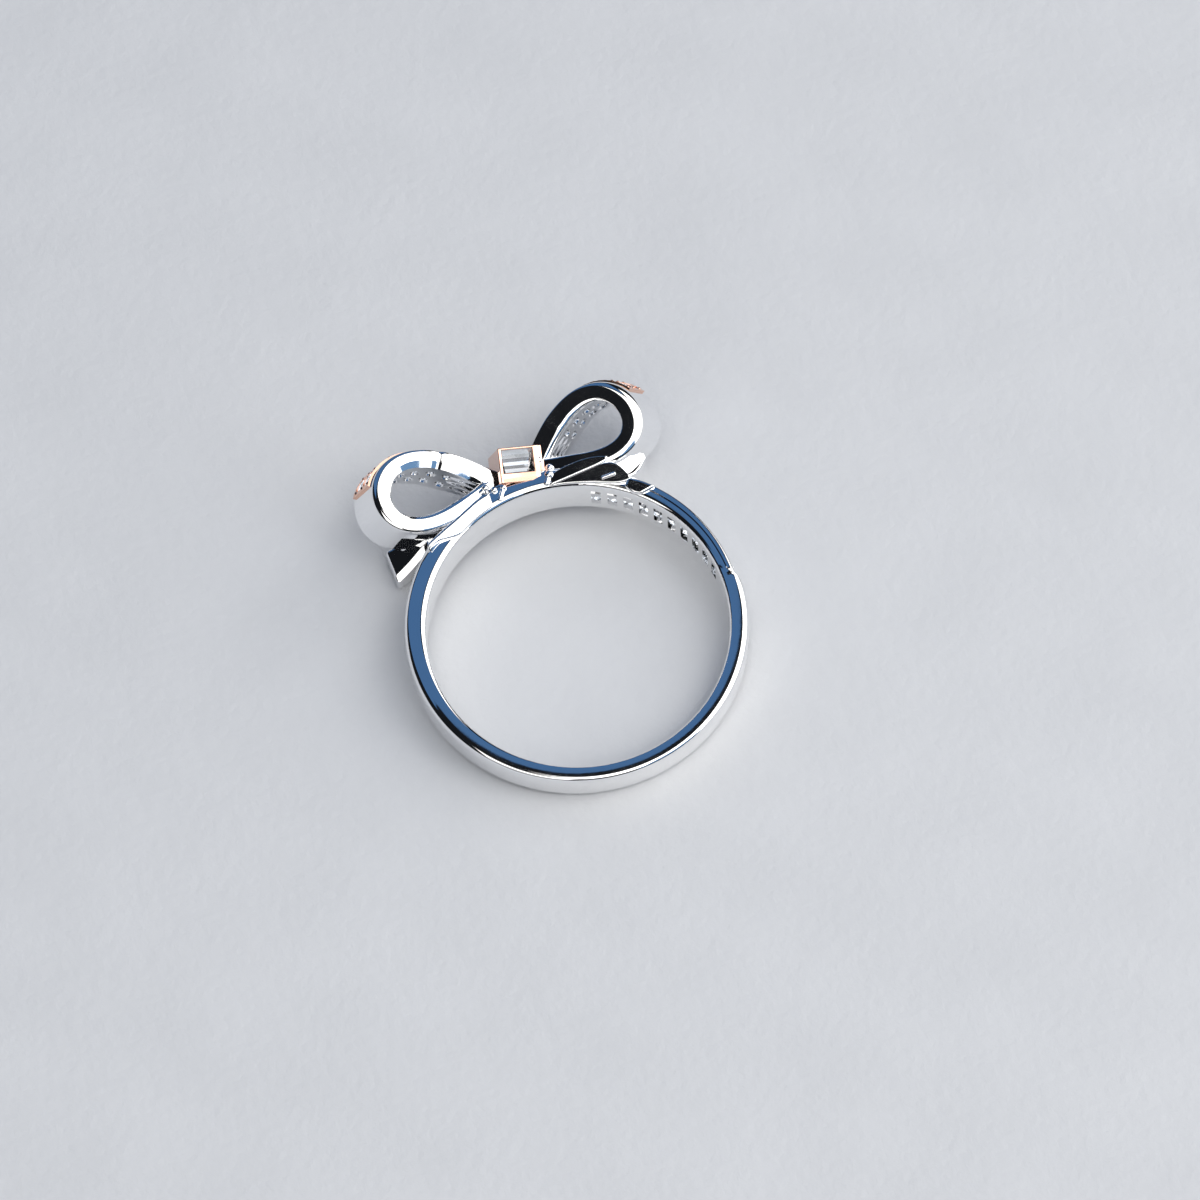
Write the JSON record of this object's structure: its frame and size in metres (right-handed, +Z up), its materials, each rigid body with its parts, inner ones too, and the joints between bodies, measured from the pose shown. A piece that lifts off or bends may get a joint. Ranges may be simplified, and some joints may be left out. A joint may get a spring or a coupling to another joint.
{
  "type": "finger ring",
  "caption": "Finger ring with a ribbon bow, a stepped stone in the bow's knot, stones on the bow's loops and a stone row on one shoulder.",
  "frame": {"origin": "middle of the bounding box, on the surface that the ring lies on", "axes": "+Z up from that surface and within 5.4 degrees of the finger hole's axis; +Y from the middle of the hole towards the bow"},
  "size_m": [0.0196, 0.0236, 0.0062],
  "materials": {
    "silver": "polished, white-plated silver",
    "rose_gold": "polished rose-gold plating",
    "clear_stone": "clear cut stone"
  },
  "bodies": {
    "root": {"ring_body": "silver", "knot_frame": "rose_gold", "knot_stone": "clear_stone", "panel_left": "rose_gold", "panel_right": "rose_gold", "panel_stones_left": "clear_stone", "panel_stones_right": "clear_stone", "shoulder_stones": "clear_stone"}
  },
  "joints": []
}
